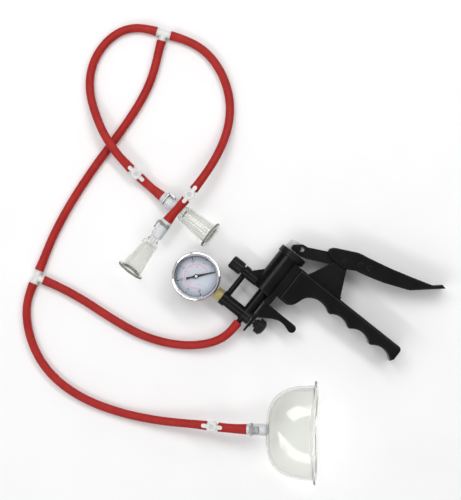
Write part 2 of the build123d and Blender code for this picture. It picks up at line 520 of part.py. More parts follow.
# ---------------------------------------------------------------- tees
def tee(name, centre, run_end, branch_end):
    """Moulded tee whose three ends meet the hoses' end faces."""
    run = (Vector(*run_end) - Vector(*centre))
    branch = (Vector(*branch_end) - Vector(*centre))
    with BuildPart() as fitting:
        for direction, reach in ((run, run.length), (run * -1, run.length), (branch, branch.length)):
            frame = Plane(origin=centre, x_dir=direction.normalized(), z_dir=(0, 0, 1))
            turned(frame, [(0, 0), (0, 3.0), (reach - 1.6, 3.0), (reach - 1.3, 3.5), (reach, 3.5),
                           (reach, 0)])
        for direction, reach in ((run, run.length), (run * -1, run.length), (branch, branch.length)):
            frame = Plane(origin=centre, x_dir=direction.normalized(), z_dir=(0, 0, 1))
            rod(frame, 0, reach, BARB_BORE_R, Mode.SUBTRACT)
    add_piece(name, fitting)


tee("pump_tee", PUMP_TEE, LOWER_ROUTE[0], PUMP_ROUTE[-1])
tee("splitter_tee", SPLITTER_TEE, RIGHT_ROUTE[0], RISER_ROUTE[-1])


# ---------------------------------------------------------------- stopcocks
def stopcock(side, start, end):
    """Quarter-turn valve between two hose ends, with a round knob that has two ears."""
    frame = between(start, end)
    half = (Vector(*end) - Vector(*start)).length / 2
    spindle = Plane(origin=frame.origin, x_dir=frame.z_dir, z_dir=frame.x_dir)
    with BuildPart() as valve:
        turned(spindle, [(-4.2, 0), (-4.2, 3.9), (-3.8, 4.3), (4.0, 4.3), (4.0, 0)])
        rod(frame, -half, half, 2.6)
        rod(frame, -half, half, BARB_BORE_R, Mode.SUBTRACT)
        rod(spindle, -3.4, 4.0, 2.25, Mode.SUBTRACT)
    add_piece(f"stopcock_{side}", valve)
    with BuildPart() as knob:
        rod(spindle, -3.3, 4.6, 2.2)
        turned(spindle, [(4.2, 0), (4.2, 4.5), (5.8, 4.5), (6.3, 4.0), (6.3, 2.0), (5.9, 1.6), (5.9, 0)])
        with BuildSketch(frame.offset(4.5)) as ears:
            SlotOverall(18.0, 3.4)
        extrude(ears.sketch, amount=1.3)
        rod(frame, -3, 3, BARB_BORE_R, Mode.SUBTRACT)
    add_piece(f"stopcock_knob_{side}", knob)


stopcock("left", LEFT_ROUTE[-1], LEFT_TAIL[0])
stopcock("right", RIGHT_ROUTE[-1], RIGHT_TAIL[0])
stopcock("lower", LOWER_ROUTE[-1], LOWER_TAIL[0])


# ---------------------------------------------------------------- quick couplers
def coupler(side, frame):
    """Quick coupler with a sliding steel latch that a thumb pad presses."""
    with BuildPart() as body:
        turned(frame, [(0, 0), (0, 4.3), (0.5, 4.8), (3.0, 4.8), (3.0, 3.5), (5.0, 3.5), (5.0, 4.7),
                       (5.4, 5.1), (16.6, 5.1), (COUPLER_L, 4.7), (COUPLER_L, 0)])
        with BuildSketch(lengthways(frame, 4.9)) as pad_seat:
            with Locations(Location((0, 5.9, 0))):
                Rectangle(7.4, 4.0)
        extrude(pad_seat.sketch, amount=6.0, mode=Mode.SUBTRACT)
        rod(frame, 0, 5, BARB_BORE_R, Mode.SUBTRACT)
        rod(frame, 5.0, COUPLER_L, CUP_STEM_R + 0.02, Mode.SUBTRACT)
    add_piece(f"coupler_{side}", body)
    with BuildPart() as latch:
        with BuildSketch(lengthways(frame, 3.4)) as blade:
            with Locations(Location((0, 0.6, 0))):
                RectangleRounded(11.0, 11.0, 2.0)
            with Locations(Location((0, 0.7, 0))):
                SlotCenterToCenter(1.5, 7.4, rotation=90, mode=Mode.SUBTRACT)
        extrude(blade.sketch, amount=1.3)
        plate([(3.4, -3.3), (10.0, -3.3), (10.6, -2.7), (10.6, 2.7), (10.0, 3.3), (3.4, 3.3)], 5.5, 6.7,
              frame=frame)
    add_piece(f"coupler_latch_{side}", latch)


LEFT_CUP = leading(LEFT_TAIL[-1], LEFT_CUP_HEADING, -90)
RIGHT_CUP = leading(RIGHT_TAIL[-1], RIGHT_CUP_HEADING, 90)
LARGE_CUP = leading(LOWER_TAIL[-1], LARGE_CUP_HEADING, 0)
coupler("left", LEFT_CUP)
coupler("right", RIGHT_CUP)
coupler("large", LARGE_CUP)


# ---------------------------------------------------------------- cups
def small_cup(name, frame):
    """Clear suction cylinder with a stem for the coupler and a flanged mouth."""
    with BuildPart() as cup:
        turned(frame, [(6.0, 0), (6.0, 2.7), (6.4, CUP_STEM_R), (17.2, CUP_STEM_R), (17.2, 4.4), (19.6, 4.4),
                       (23.6, 6.6), (24.2, 7.0), (51.6, 9.0), (51.9, 11.6), (52.3, 11.9),
                       (SMALL_CUP_END - 0.4, 11.9), (SMALL_CUP_END, 11.5), (SMALL_CUP_END, 7.4), (43.0, 7.4),
                       (26.0, 5.6), (24.6, 4.0), (24.6, 0)])
        rod(frame, 6, 25, 1.2, Mode.SUBTRACT)
    add_piece(name, cup)


small_cup("suction_cylinder_left", LEFT_CUP)
small_cup("suction_cylinder_right", RIGHT_CUP)

DOME = [(17.3, 14.6, 8.6), (18.3, 19.6, 11.4), (20.2, 24.7, 14.2), (23.4, 29.6, 17.0), (28.0, 33.6, 19.4),
        (36.0, 37.4, 21.4), (45.0, 39.4, 22.4), (57.0, 40.0, 22.7)]
DOME_WALL = 2.0
DOME_SHIFT = -1.7            # the dome sits a little to one side of its stem
RIM_START = 56.5
RIM = (44.0, 26.0)


def dome(wall, stations):
    """Loft through the large cup's cross-sections, each an ellipse (distance, half width, half height)."""
    with BuildPart() as loaf:
        for distance, wide, high in stations:
            with BuildSketch(lengthways(LARGE_CUP, distance)):
                with Locations((DOME_SHIFT, 0)):
                    Ellipse(wide - wall, high - wall)
        loft()
    return loaf.part


inner_stations = [(DOME[0][0] + DOME_WALL, DOME[0][1], DOME[0][2])]
inner_stations += [(distance + DOME_WALL * 0.6, wide, high) for distance, wide, high in DOME[1:-1]]
inner_stations += [(BIG_CUP_RIM + 0.5, DOME[-1][1], DOME[-1][2])]
outside = dome(0, DOME)
inside = dome(DOME_WALL, inner_stations)
with BuildPart() as large_cup:
    add(outside)
    with BuildSketch(lengthways(LARGE_CUP, RIM_START)) as rim:
        with Locations((DOME_SHIFT, 0)):
            Ellipse(*RIM)
    extrude(rim.sketch, amount=BIG_CUP_RIM - RIM_START)
    add(inside, mode=Mode.SUBTRACT)
    turned(LARGE_CUP, [(6.0, 0), (6.0, 2.7), (6.4, CUP_STEM_R), (17.1, CUP_STEM_R), (17.1, 4.8), (18.4, 6.0),
                       (19.2, 6.0), (19.2, 0)])
    rod(LARGE_CUP, 6, 20, 1.2, Mode.SUBTRACT)
add_piece("large_cup", large_cup)

# ---------------------------------------------------------------- files
os.makedirs("parts", exist_ok=True)
for label, shape in pieces.items():
    shape.label = label
    export_step(shape, f"parts/{label}.step")
print(len(pieces), "nodes")
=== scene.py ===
"""Looks of the hand vacuum pump: hoses, clear cups, the printed dial and every material.

Everything is in metres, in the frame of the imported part.
"""

import json
from math import cos, pi, radians, sin

import bmesh
import bpy
from mathutils import Matrix, Vector


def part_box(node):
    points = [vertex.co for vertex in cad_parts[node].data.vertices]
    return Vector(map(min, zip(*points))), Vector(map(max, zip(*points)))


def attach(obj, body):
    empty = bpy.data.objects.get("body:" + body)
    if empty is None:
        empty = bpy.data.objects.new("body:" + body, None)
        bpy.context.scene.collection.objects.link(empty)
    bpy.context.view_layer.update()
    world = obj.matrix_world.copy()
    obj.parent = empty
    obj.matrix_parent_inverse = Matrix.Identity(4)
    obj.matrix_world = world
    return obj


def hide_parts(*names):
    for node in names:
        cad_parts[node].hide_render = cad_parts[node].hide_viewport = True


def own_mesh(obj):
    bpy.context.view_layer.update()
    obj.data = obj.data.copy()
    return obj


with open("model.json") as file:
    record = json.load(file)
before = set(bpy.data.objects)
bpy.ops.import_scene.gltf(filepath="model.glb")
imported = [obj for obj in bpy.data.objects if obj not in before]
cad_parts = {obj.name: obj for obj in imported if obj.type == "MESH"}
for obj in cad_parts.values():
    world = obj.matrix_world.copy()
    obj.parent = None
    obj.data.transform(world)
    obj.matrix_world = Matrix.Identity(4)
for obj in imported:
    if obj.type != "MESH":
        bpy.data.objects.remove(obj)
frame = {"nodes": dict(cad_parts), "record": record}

MM = 0.001
scene = bpy.context.scene
nodes = frame["nodes"]
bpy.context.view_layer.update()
MIX_SHARE, MIX_FIRST, MIX_SECOND, MIX_RESULT = 0, 6, 7, 2    # sockets of a colour mix node


def linked(name, data):
    """A new object with this data, in the scene."""
    made = bpy.data.objects.new(name, data)
    scene.collection.objects.link(made)
    return made


# ------------------------------------------------------------------ camera, floor and light
VIEW_CENTRE = Vector((-0.0679, -0.0162, 0.008))
VIEW_UP = Vector((-0.6225, 0.7826, 0.0)).normalized()
VIEW_RIGHT = Vector((VIEW_UP.y, -VIEW_UP.x, 0.0))
VIEW_HEIGHT = 0.425          # what the long side of the picture shows
CAMERA_DISTANCE = 1.6
SENSOR = 36.0


def facing(place, target, up):
    """Matrix at place whose -Z looks at target."""
    back = (place - target).normalized()
    right = up.cross(back).normalized()
    turn = Matrix((right, back.cross(right), back)).transposed()
    return Matrix.Translation(place) @ turn.to_4x4()


camera = linked("camera", bpy.data.cameras.new("camera"))
camera.data.sensor_width = SENSOR
camera.data.lens = SENSOR * CAMERA_DISTANCE / VIEW_HEIGHT
camera.matrix_world = facing(VIEW_CENTRE + Vector((0, 0, CAMERA_DISTANCE)), VIEW_CENTRE, VIEW_UP)
scene.camera = camera

# name, right, up and height of its middle from the view's centre, size along each side, power
SOFTBOXES = [
    ("key_light", -0.45, 0.55, 1.15, 0.55, 0.55, 4.0),
    ("strip_light", 0.42, 0.49, 1.0, 1.4, 0.22, 5.6),
    ("rim_light", -0.5, -0.58, 0.9, 1.2, 0.15, 3.0),
]
for name, right, up, height, width, depth, power in SOFTBOXES:
    lamp = linked(name, bpy.data.lights.new(name, "AREA"))
    lamp.data.shape = "RECTANGLE"
    lamp.data.size, lamp.data.size_y = width, depth
    lamp.data.energy = power
    place = VIEW_CENTRE + VIEW_RIGHT * right + VIEW_UP * up + Vector((0, 0, height))
    lamp.matrix_world = facing(place, VIEW_CENTRE, Vector((0, 0, 1)))

# ------------------------------------------------------------------ hoses
HOSE_RADIUS = 3.6 * MM
BARB_SWELL = 1.12            # how far a fitting's barb stretches a hose
COUPLER_SWELL = 1.26
NIPPLE_SWELL = 1.05          # the manifold's nipple stretches it less
FLOOR_CLEARANCE = 0.02 * MM

PUMP_ROUTE = [
    (-0.0247, -0.06, 0.0125), (-0.0247, -0.0705, 0.0124), (-0.0274, -0.0809, 0.0111),
    (-0.0339, -0.091, 0.0086), (-0.0436, -0.1008, 0.006), (-0.056, -0.1094, 0.0042),
    (-0.0698, -0.116, 0.0036), (-0.0845, -0.1208, 0.0036), (-0.1004, -0.1236, 0.0036),
    (-0.1175, -0.1256, 0.0036), (-0.1344, -0.1271, 0.0036), (-0.151, -0.1294, 0.0036),
    (-0.1671, -0.1327, 0.0036), (-0.1767, -0.1354, 0.0036),
]
LOWER_ROUTE = [
    (-0.1815, -0.1431, 0.0036), (-0.1791, -0.1517, 0.0036), (-0.1743, -0.1615, 0.0036),
    (-0.1673, -0.1704, 0.0036), (-0.1578, -0.1789, 0.0036), (-0.1457, -0.1866, 0.0036),
    (-0.1312, -0.1924, 0.0036), (-0.1156, -0.1951, 0.0036), (-0.0995, -0.1949, 0.0036),
    (-0.0823, -0.1922, 0.0036), (-0.0648, -0.1868, 0.0036), (-0.0469, -0.1794, 0.0039),
    (-0.0297, -0.1703, 0.0062), (-0.014, -0.1604, 0.01), (0.0003, -0.1504, 0.0135),
    (0.0088, -0.145, 0.015),
]
RISER_ROUTE = [
    (-0.1847, -0.1313, 0.0036), (-0.1874, -0.1217, 0.0036), (-0.1926, -0.105, 0.0036),
    (-0.1966, -0.0864, 0.0036), (-0.1996, -0.067, 0.0036), (-0.2016, -0.0468, 0.0036),
    (-0.2029, -0.0263, 0.0036), (-0.2035, -0.0056, 0.0036), (-0.2044, 0.015, 0.0036),
    (-0.2064, 0.0346, 0.0036), (-0.2101, 0.0524, 0.0036), (-0.2155, 0.0664, 0.0036),
    (-0.2213, 0.0784, 0.0036), (-0.2248, 0.0867, 0.0036),
]
LEFT_ROUTE = [
    (-0.2329, 0.0904, 0.0036), (-0.2403, 0.0873, 0.0036), (-0.2484, 0.0823, 0.0036),
    (-0.255, 0.075, 0.0036), (-0.2593, 0.0658, 0.0036), (-0.2611, 0.0554, 0.0036),
    (-0.2607, 0.0444, 0.0036), (-0.258, 0.0338, 0.0036), (-0.2531, 0.024, 0.0036),
    (-0.2463, 0.0154, 0.0038), (-0.2376, 0.008, 0.0052), (-0.2265, 0.0009, 0.0084),
    (-0.213, -0.0063, 0.0115), (-0.1958, -0.0119, 0.0115), (-0.1862, -0.0136, 0.0098),
    (-0.1769, -0.0149, 0.0079),
]
RIGHT_ROUTE = [
    (-0.2217, 0.095, 0.0036), (-0.2143, 0.0981, 0.0036), (-0.2046, 0.1012, 0.0036),
    (-0.1933, 0.1028, 0.0036), (-0.181, 0.1016, 0.0036), (-0.1684, 0.0974, 0.0036),
    (-0.156, 0.0903, 0.0036), (-0.1451, 0.0806, 0.0036), (-0.1365, 0.0684, 0.005),
    (-0.1307, 0.0552, 0.0084), (-0.127, 0.0413, 0.013), (-0.1249, 0.0275, 0.0174),
    (-0.124, 0.0143, 0.0203), (-0.1238, 0.0039, 0.0208),
]
LEFT_TAIL = [
    (-0.1672, -0.0158, 0.0057), (-0.1594, -0.0165, 0.0045), (-0.1497, -0.0168, 0.0051),
    (-0.1418, -0.0168, 0.0059),
]
RIGHT_TAIL = [
    (-0.124, -0.006, 0.0207), (-0.1242, -0.014, 0.0206), (-0.125, -0.0221, 0.0193),
    (-0.1248, -0.03, 0.0183),
]
LOWER_TAIL = [(0.0172, -0.1398, 0.0164), (0.0274, -0.1334, 0.0181), (0.0369, -0.1261, 0.01945)]


def hose_piece(name, route, start_swell, end_swell, cad_node):
    """Hose on the route's own smooth curve, stretched at the ends that grip a fitting.

    A stretched end is lifted where it would reach into the floor.
    """
    data = bpy.data.curves.new(name, "CURVE")
    data.dimensions = "3D"
    data.bevel_depth = 1.0       # each point's radius is then in metres
    data.bevel_resolution = 7
    data.resolution_u = 10
    data.use_fill_caps = True
    spline = data.splines.new("NURBS")
    spline.points.add(len(route) - 1)
    for point, place in zip(spline.points, route):
        point.co = (*place, 1.0)
        point.radius = HOSE_RADIUS
    spline.order_u = 3
    spline.use_endpoint_u = True
    for end, swell in ((0, start_swell), (-1, end_swell)):
        spline.points[end].radius = HOSE_RADIUS * swell
        spline.points[end].co.z = max(route[end][2], HOSE_RADIUS * swell + FLOOR_CLEARANCE)
    made = linked(name, data)
    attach(made, "pump")
    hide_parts(cad_node)
    return made


pump_line = hose_piece("pump_line", PUMP_ROUTE, NIPPLE_SWELL, BARB_SWELL, "pump_hose")
lower_line = hose_piece("lower_line", LOWER_ROUTE, BARB_SWELL, BARB_SWELL, "lower_hose")
riser_line = hose_piece("riser_line", RISER_ROUTE, BARB_SWELL, BARB_SWELL, "riser_hose")
left_line = hose_piece("left_line", LEFT_ROUTE, BARB_SWELL, BARB_SWELL, "left_loop_hose")
right_line = hose_piece("right_line", RIGHT_ROUTE, BARB_SWELL, BARB_SWELL, "right_loop_hose")
left_tail = hose_piece("left_tail", LEFT_TAIL, BARB_SWELL, COUPLER_SWELL, "left_cup_hose")
right_tail = hose_piece("right_tail", RIGHT_TAIL, BARB_SWELL, COUPLER_SWELL, "right_cup_hose")
large_tail = hose_piece("large_tail", LOWER_TAIL, BARB_SWELL, COUPLER_SWELL, "large_cup_hose")
HOSES = [pump_line, lower_line, riser_line, left_line, right_line, left_tail, right_tail, large_tail]


# ------------------------------------------------------------------ mesh helpers
def cup_frame(start, turn, rise, roll):
    """Matrix at a coupler's hose end: X towards its cup, Z towards its thumb pad."""
    turn, rise = radians(turn), radians(rise)
    along = Vector((cos(turn) * cos(rise), sin(turn) * cos(rise), sin(rise)))
    up = (Vector((0, 0, 1)) - along * along.z).normalized()
    up = Matrix.Rotation(radians(roll), 3, along) @ up
    axes = Matrix((along, up.cross(along), up)).transposed()
    return Matrix.Translation(start) @ axes.to_4x4()


LEFT_CUP = cup_frame(LEFT_TAIL[-1], turn=0.0, rise=6.6, roll=-90)
RIGHT_CUP = cup_frame(RIGHT_TAIL[-1], turn=-88.8, rise=-6.9, roll=90)
LARGE_CUP = cup_frame(LOWER_TAIL[-1], turn=37.5, rise=6.5, roll=0)


def mesh_piece(name, made, body, crease=32.0):
    """Object from a bmesh, smooth but for edges sharper than crease degrees."""
    bmesh.ops.recalc_face_normals(made, faces=made.faces)
    for face in made.faces:
        face.smooth = True
    for edge in made.edges:
        edge.smooth = edge.calc_face_angle(0.0) < radians(crease)
    mesh = bpy.data.meshes.new(name)
    made.to_mesh(mesh)
    made.free()
    piece = linked(name, mesh)
    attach(piece, body)
    return piece


def lathe(made, place, rings, segments=64, closed=False):
    """Add rings round the X axis of place.

    Each ring is (distance, half width along Y, half height along Z, shift along Y).
    """
    rows = []
    for distance, wide, high, shift in rings:
        row = []
        for step in range(segments):
            angle = 2 * pi * step / segments
            spot = Vector((distance, wide * cos(angle) + shift, high * sin(angle)))
            row.append(made.verts.new(place @ spot))
        rows.append(row)
    pairs = list(zip(rows, rows[1:]))
    if closed:
        pairs.append((rows[-1], rows[0]))
    for low, high in pairs:
        for step in range(segments):
            following = (step + 1) % segments
            made.faces.new((low[step], low[following], high[following], high[step]))
    if not closed:
        made.faces.new(rows[0])
        made.faces.new(rows[-1])
    return rows


def round_rings(outline):
    """Rings of a round piece from its (distance, radius) outline in millimetres."""
    return [(distance * MM, radius * MM, radius * MM, 0.0) for distance, radius in outline]


def eased(share):
    """Smooth step from 0 to 1, level at both ends."""
    share = min(max(share, 0.0), 1.0)
    return share * share * (3 - 2 * share)


# ------------------------------------------------------------------ large cup
CUP_SEGMENTS = 128
CUP_WALL = 2.0
WALL_SETBACK = 0.7           # the dome's inside stands this share of the wall further along
DOME_STEPS = 5               # rings from one station to the next
DOME_SHIFT = -1.7            # the dome sits a little to one side of its stem
SHIFT_START = 8.0            # the shift starts at this half width and is whole at twice that
RIM_FRONT = 58.7
RIM_SADDLE = 1.5             # how far the rim's sides stand forward of its middle
SADDLE_START = 34.0          # where along the cup that curve starts, and how long it takes to grow
SADDLE_LENGTH = 22.0
SADDLE_ARC = 0.667 * pi
DOME_STATIONS = [
    (17.1, 8.0, 6.6), (17.3, 14.6, 10.0), (18.3, 19.6, 12.4), (20.2, 24.7, 14.7), (23.4, 29.6, 17.2),
    (28.0, 33.6, 19.4), (36.0, 37.4, 21.4), (45.0, 39.4, 22.4), (56.0, 40.0, 22.7),
]
STEM_OUTLINE = [(6.0, 1.2), (6.0, 2.7), (6.4, 3.05), (16.4, 3.05), (16.9, 3.6), (17.1, 4.8)]
RIM_REACH = 4.0
RIM_OUTSIDE = [(56.4, 0.3), (56.6, 1.4), (56.9, 3.2), (57.4, RIM_REACH), (58.1, RIM_REACH), (58.6, 3.4)]
RIM_FLATNESS = 0.82          # the rim stands out less in height than in width
# the rim's front and inside edge: distance behind the front, added half width, added half height
RIM_LIP = [(0.0, 2.6, 2.1), (0.0, -0.8, -0.8), (0.7, -1.7, -1.7)]
DOME_FLOOR = [(19.2, 6.0, 5.0, 0.0), (19.1, 1.2, 1.2, 0.0)]


def between_stations(stations, steps):
    """The stations with a smooth curve between them, as even steps."""
    smooth = []
    for index in range(len(stations) - 1):
        span = [stations[max(index - 1, 0)], stations[index], stations[index + 1],
                stations[min(index + 2, len(stations) - 1)]]
        for step in range(steps):
            t = step / steps
            smooth.append(tuple(
                0.5 * (2 * b + (c - a) * t + (2 * a - 5 * b + 4 * c - d) * t ** 2
                       + (3 * b - a - 3 * c + d) * t ** 3)
                for a, b, c, d in zip(*span)))
    return smooth + [stations[-1]]


def dome_shift(wide):
    """How far to one side a ring of the dome sits, from its half width."""
    return DOME_SHIFT * eased((wide - SHIFT_START) / SHIFT_START)


def large_cup_mesh():
    """Bell of the large cup with its stem, one closed skin, and a rim that follows a body's curve."""
    outside = between_stations(DOME_STATIONS, DOME_STEPS)
    rim_wide, rim_high = DOME_STATIONS[-1][1:]
    rings = [(distance, radius, radius, 0.0) for distance, radius in STEM_OUTLINE]
    rings += [(distance, wide, high, dome_shift(wide)) for distance, wide, high in outside]
    rings += [(distance, rim_wide + out, rim_high + out * RIM_FLATNESS, DOME_SHIFT)
              for distance, out in RIM_OUTSIDE]
    rings += [(RIM_FRONT - behind, rim_wide + wide, rim_high + high, DOME_SHIFT)
              for behind, wide, high in RIM_LIP]
    for distance, wide, high in reversed(outside[DOME_STEPS:]):
        rings.append((distance + CUP_WALL * WALL_SETBACK, wide - CUP_WALL, high - CUP_WALL, dome_shift(wide)))
    rings += DOME_FLOOR
    made = bmesh.new()
    rows = lathe(made, Matrix.Identity(4), [tuple(value * MM for value in ring) for ring in rings],
                 CUP_SEGMENTS, closed=True)
    reach = (rim_wide + RIM_REACH) * MM
    for row in rows:
        for vertex in row:
            share = (vertex.co.y - DOME_SHIFT * MM) / reach
            near_rim = eased((vertex.co.x / MM - SADDLE_START) / SADDLE_LENGTH)
            vertex.co.x += RIM_SADDLE * MM * near_rim * (sin(SADDLE_ARC * share) ** 2 - 0.5)
    bmesh.ops.transform(made, matrix=LARGE_CUP, verts=made.verts)
    return made


bell = mesh_piece("bell_cup", large_cup_mesh(), "pump", crease=40.0)
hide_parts("large_cup")

# ------------------------------------------------------------------ small cups: dark bands of painted shade on the flange edges
FLANGE_SHADE_BAND = [(51.95, 11.6), (52.3, 11.93), (53.3, 11.93), (53.68, 11.6), (53.74, 11.2), (53.55, 11.2),
               (53.2, 11.55), (52.4, 11.55), (52.1, 11.2), (51.9, 11.2)]
# each band is painted shade: a dark ring where the flange, seen edge-on, looks dark
for side, place in (("left", LEFT_CUP), ("right", RIGHT_CUP)):
    band = bmesh.new()
    lathe(band, place, round_rings(FLANGE_SHADE_BAND), 96, closed=True)
    mesh_piece(f"flange_shade_band_{side}", band, "pump", crease=60.0)

# ------------------------------------------------------------------ printed dial
dial_low, dial_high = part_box("gauge_dial")
DIAL = Vector(((dial_low.x + dial_high.x) / 2, (dial_low.y + dial_high.y) / 2, dial_high.z))
PRINT_LIFT = 0.04 * MM
SCALE_START = 51.0           # degrees from the stem, where the needle rests
SCALE_SWEEP = 270.0
BLACK_STEPS = 30
BLACK_RADIUS = 16.9
BLACK_NUMBERS = 12.7         # radius at the middle of its numbers
RED_STEPS = 38
RED_UNITS = 2                # what one red step counts
RED_RADIUS = 10.3
RED_NUMBERS = 7.6
RED_NUMBER_SIZE = 2.1


def on_dial(radius, angle):
    """Spot on the dial's face, at a radius in millimetres and an angle in degrees."""
    angle = radians(angle)
    return DIAL + Vector((radius * MM * cos(angle), radius * MM * sin(angle), PRINT_LIFT))


def heading(step, steps):
    """Angle of a step on the scale, in degrees."""
    return SCALE_START + SCALE_SWEEP * step / steps


def black_tick(step):
    """Inner radius and width of a black tick: longest at tens, then at fives."""
    if step % 10 == 0:
        return 14.5, 0.75
    if step % 5 == 0:
        return 15.1, 0.55
    return 15.8, 0.26


def printed_tick(made, angle, inner, outer, width):
    """Flat radial stroke."""
    across = Vector((-sin(radians(angle)), cos(radians(angle)), 0)) * (width * MM / 2)
    low, high = on_dial(inner, angle), on_dial(outer, angle)
    corners = (low - across, high - across, high + across, low + across)
    made.faces.new([made.verts.new(corner) for corner in corners])


def printed_arc(made, radius, width, start, sweep):
    """Flat arc line."""
    steps = int(sweep / 3)
    rows = [[made.verts.new(on_dial(radius + offset, start + sweep * step / steps))
             for offset in (-width / 2, width / 2)] for step in range(steps + 1)]
    for low, high in zip(rows, rows[1:]):
        made.faces.new((low[0], low[1], high[1], high[0]))


def printed_number(made, text, size, spot):
    """Flat digits, upright when the stem points down."""
    letters = bpy.data.curves.new("letters", "FONT")
    letters.body, letters.size = text, size * MM
    letters.align_x, letters.align_y = "CENTER", "CENTER"
    letters.resolution_u = 3
    holder = linked("letters", letters)
    flat = bpy.data.meshes.new_from_object(holder.evaluated_get(bpy.context.evaluated_depsgraph_get()))
    upright = Matrix(((0, -1, 0), (1, 0, 0), (0, 0, 1))).to_4x4()
    flat.transform(Matrix.Translation(spot) @ upright)
    made.from_mesh(flat)
    bpy.data.objects.remove(holder)
    bpy.data.curves.remove(letters)
    bpy.data.meshes.remove(flat)


def print_piece(name, made):
    """Ink on the dial, facing up."""
    piece = mesh_piece(name, made, "pump")
    for polygon in piece.data.polygons:
        if polygon.normal.z < 0:
            polygon.flip()
    return piece


black_print = bmesh.new()
printed_arc(black_print, BLACK_RADIUS, 0.3, SCALE_START, SCALE_SWEEP)
for step in range(BLACK_STEPS + 1):
    inner, width = black_tick(step)
    printed_tick(black_print, heading(step, BLACK_STEPS), inner, BLACK_RADIUS, width)
for step in range(0, BLACK_STEPS + 1, 5):
    size = 3.2 if step % 10 == 0 else 2.4
    printed_number(black_print, str(step), size, on_dial(BLACK_NUMBERS, heading(step, BLACK_STEPS)))

red_print = bmesh.new()
printed_arc(red_print, RED_RADIUS, 0.26, SCALE_START, SCALE_SWEEP)
for step in range(RED_STEPS + 1):
    inner, width = (9.0, 0.45) if step % 5 == 0 else (9.6, 0.2)
    printed_tick(red_print, heading(step, RED_STEPS), inner, RED_RADIUS, width)
for step in (*range(0, RED_STEPS, 10), RED_STEPS):
    spot = on_dial(RED_NUMBERS, heading(step, RED_STEPS))
    printed_number(red_print, str(RED_UNITS * step), RED_NUMBER_SIZE, spot)
black_print = print_piece("dial_scale_black", black_print)
red_print = print_piece("dial_scale_red", red_print)

# ------------------------------------------------------------------ needle cap, stopcock spindles
needle_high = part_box("gauge_needle")[1]
NEEDLE_CAP = [(-0.05, 1.15), (0.12, 1.1), (0.3, 0.75), (0.38, 0.02)]
hub_top = Matrix.Translation((DIAL.x, DIAL.y, needle_high.z)) @ Matrix.Rotation(-pi / 2, 4, "Y")
cap = bmesh.new()
lathe(cap, hub_top, round_rings(NEEDLE_CAP), 40)
needle_cap = mesh_piece("needle_cap", cap, "needle")


def valve_frame(start, end):
    """Matrix in the middle of a stopcock: X up its spindle, Z along its bore."""
    start, end = Vector(start), Vector(end)
    along = (end - start).normalized()
    up = (Vector((0, 0, 1)) - along * along.z).normalized()
    axes = Matrix((up, along.cross(up), along)).transposed()
    return Matrix.Translation((start + end) / 2) @ axes.to_4x4()


STOPCOCKS = {
    "left": valve_frame(LEFT_ROUTE[-1], LEFT_TAIL[0]),
    "right": valve_frame(RIGHT_ROUTE[-1], RIGHT_TAIL[0]),
    "lower": valve_frame(LOWER_ROUTE[-1], LOWER_TAIL[0]),
}
SPINDLE = [(5.85, 1.45), (6.05, 1.45), (6.15, 1.3), (6.15, 0.5), (6.0, 0.42), (6.0, 0.02)]
spindle_caps = {}
for side, place in STOPCOCKS.items():
    cap = bmesh.new()
    lathe(cap, place, round_rings(SPINDLE), 40)
    spindle_caps[side] = mesh_piece(f"spindle_cap_{side}", cap, f"knob_{side}")


# ------------------------------------------------------------------ springs as wire coils
COIL_STEPS = 32              # for each turn of wire
WIRE_SIDES = 10


def spring_piece(name, node, low, high, wire, turns):
    """Wire coil in its node's box, from low to high."""
    box_low, box_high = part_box(node)
    centre = (box_low + box_high) / 2
    axis = (high - low).normalized()
    side = axis.orthogonal().normalized()
    other = axis.cross(side)
    across = (box_high - box_low) - Vector([abs(value) for value in (high - low)])
    radius = max(across) / 2 - wire
    made = bmesh.new()
    rows = []
    steps = turns * COIL_STEPS
    for step in range(steps + 1):
        angle = 2 * pi * step / COIL_STEPS
        out = side * cos(angle) + other * sin(angle)
        spot = centre + axis * ((step / steps - 0.5) * ((high - low).length - 2 * wire)) + out * radius
        rows.append([made.verts.new(spot + (out * cos(turn) + axis * sin(turn)) * wire)
                     for turn in [2 * pi * part / WIRE_SIDES for part in range(WIRE_SIDES)]])
    for first, second in zip(rows, rows[1:]):
        for part in range(WIRE_SIDES):
            following = (part + 1) % WIRE_SIDES
            made.faces.new((first[part], first[following], second[following], second[part]))
    made.faces.new(rows[0])
    made.faces.new(rows[-1])
    piece = mesh_piece(name, made, "pump")
    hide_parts(node)
    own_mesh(piece)
    return piece


return_low, return_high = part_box("return_spring")
stem_low, stem_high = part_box("stem_spring")
return_coil = spring_piece(
    "return_coil", "return_spring",
    Vector((0, return_low.y, 0)), Vector((0, return_high.y, 0)),
    wire=0.6 * MM, turns=6)
stem_coil = spring_piece(
    "stem_coil", "stem_spring",
    Vector((stem_low.x, 0, 0)), Vector((stem_high.x, 0, 0)),
    wire=0.3 * MM, turns=4)


